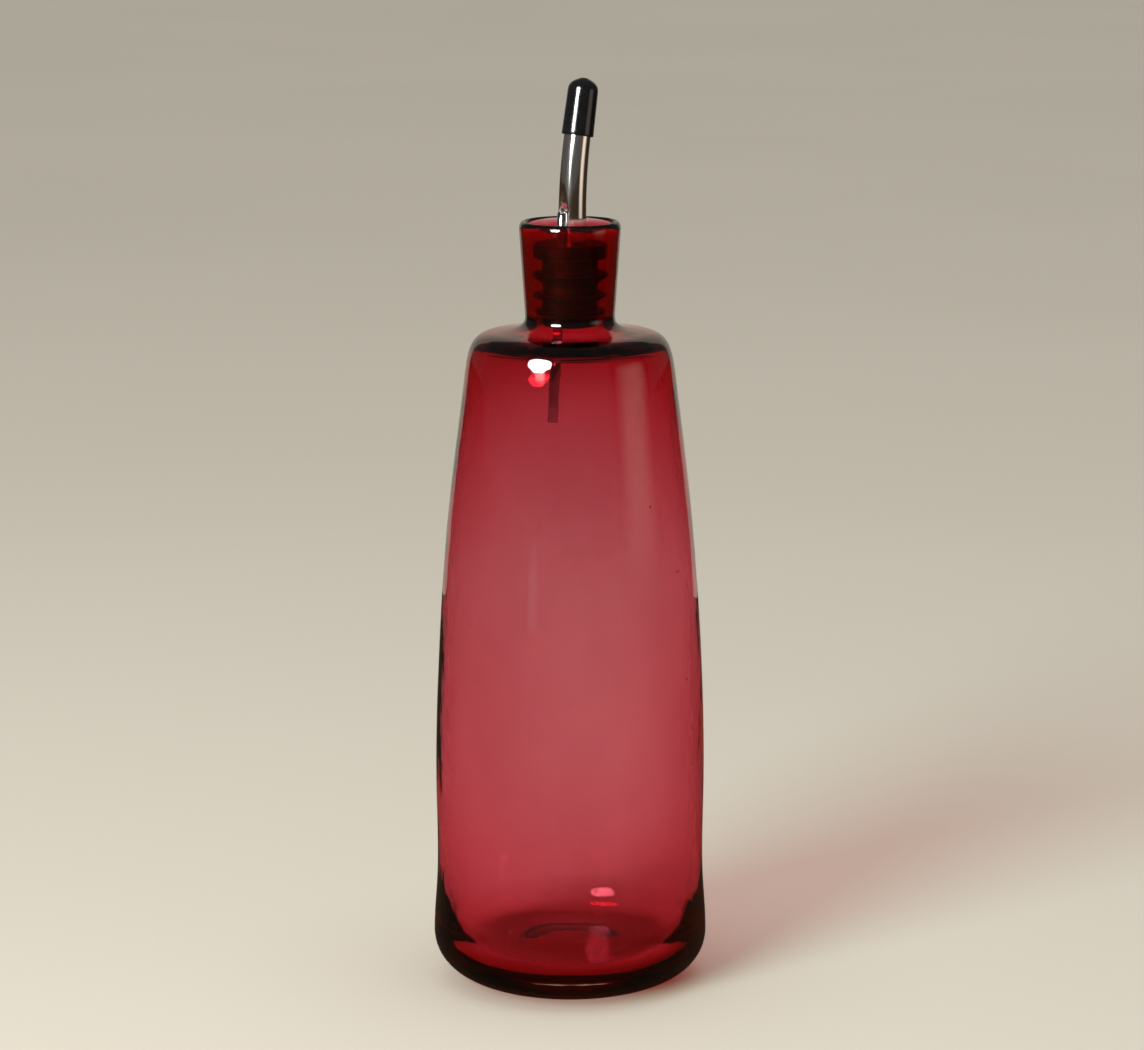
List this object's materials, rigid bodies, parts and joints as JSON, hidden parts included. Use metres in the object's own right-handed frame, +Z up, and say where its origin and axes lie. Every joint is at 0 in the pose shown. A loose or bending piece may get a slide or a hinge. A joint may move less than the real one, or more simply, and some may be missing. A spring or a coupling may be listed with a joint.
{
  "type": "glass oil bottle",
  "caption": "Tapered ruby glass oil cruet with a short flared neck, closed by a finned pouring stopper with a bent steel spout, a vent tube and a dust cap.",
  "frame": {"origin": "middle of the foot, on the surface that the bottle stands on", "axes": "+Z up along the bottle's axis; +X is the pouring side, towards which the spout bends"},
  "size_m": [0.0844, 0.0844, 0.2792],
  "materials": {
    "ruby_glass": "polished",
    "black_stopper": "satin",
    "polished_steel": "polished",
    "black_vinyl": "gloss"
  },
  "bodies": {
    "bottle": {"bottle": "ruby_glass"},
    "pourer": {"stopper": "black_stopper", "spout_tube": "polished_steel", "vent_tube": "polished_steel"},
    "cap": {"dust_cap": "black_vinyl"}
  },
  "joints": [
    {"name": "pourer_lift", "type": "slide", "parent": "bottle", "child": "pourer", "axis": [0, 0, 1], "range_m": [0, 0.065]},
    {"name": "cap_pull", "type": "slide", "parent": "pourer", "child": "cap", "axis": [0.1736, 0, 0.9848], "range_m": [0, 0.02]}
  ]
}
